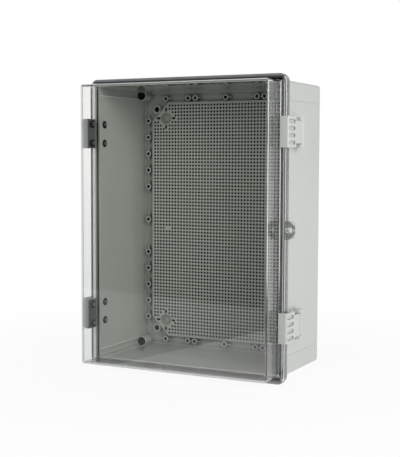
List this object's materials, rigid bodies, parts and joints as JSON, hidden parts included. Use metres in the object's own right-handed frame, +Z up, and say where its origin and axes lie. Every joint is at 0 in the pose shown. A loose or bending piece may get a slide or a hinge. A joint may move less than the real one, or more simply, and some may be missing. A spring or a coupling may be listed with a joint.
{
  "type": "hinged junction box",
  "caption": "Wall-mounted plastic junction box with a hinged clear cover, side snap latches, a padlock hasp and a perforated mounting plate inside.",
  "frame": {"origin": "middle of the four wall screw holes, on the back plane of the case", "axes": "+Z up, -Y out of the wall towards the cover, +X to the right when facing the cover"},
  "size_m": [0.3177, 0.18, 0.407],
  "materials": {
    "housing": "fine satin grain",
    "plate_grey": "satin",
    "fitting_grey": "satin",
    "hinge_grey": "satin",
    "clear_cover": "polished, slightly smoky",
    "rubber_black": "matte",
    "steel": "zinc plated"
  },
  "bodies": {
    "case": {"base_tub": "housing", "gasket": "rubber_black", "mounting_plate": "plate_grey", "upper_hinge_case_leaf": "hinge_grey", "upper_hinge_pin": "steel", "upper_hinge_case_screws": "steel", "upper_hinge_case_seals": "rubber_black", "lower_hinge_case_leaf": "hinge_grey", "lower_hinge_pin": "steel", "lower_hinge_case_screws": "steel", "lower_hinge_case_seals": "rubber_black", "upper_latch_bracket": "fitting_grey", "upper_latch_pin": "steel", "upper_latch_screws": "steel", "lower_latch_bracket": "fitting_grey", "lower_latch_pin": "steel", "lower_latch_screws": "steel"},
    "door": {"cover": "clear_cover", "upper_hinge_cover_leaf": "hinge_grey", "upper_hinge_cover_screws": "steel", "upper_hinge_cover_seals": "rubber_black", "lower_hinge_cover_leaf": "hinge_grey", "lower_hinge_cover_screws": "steel", "lower_hinge_cover_seals": "rubber_black"},
    "upper_latch": {"upper_latch_lever": "fitting_grey"},
    "lower_latch": {"lower_latch_lever": "fitting_grey"}
  },
  "joints": [
    {"name": "door_hinge", "type": "hinge", "parent": "case", "child": "door", "pos_m": [-0.1545, -0.128, 0], "axis": [0, 0, -1], "range_deg": [0, 170]},
    {"name": "upper_latch_pivot", "type": "hinge", "parent": "case", "child": "upper_latch", "pos_m": [0.1525, -0.097, 0.128], "axis": [0, 0, 1], "range_deg": [0, 110]},
    {"name": "lower_latch_pivot", "type": "hinge", "parent": "case", "child": "lower_latch", "pos_m": [0.1525, -0.097, -0.128], "axis": [0, 0, 1], "range_deg": [0, 110]}
  ]
}
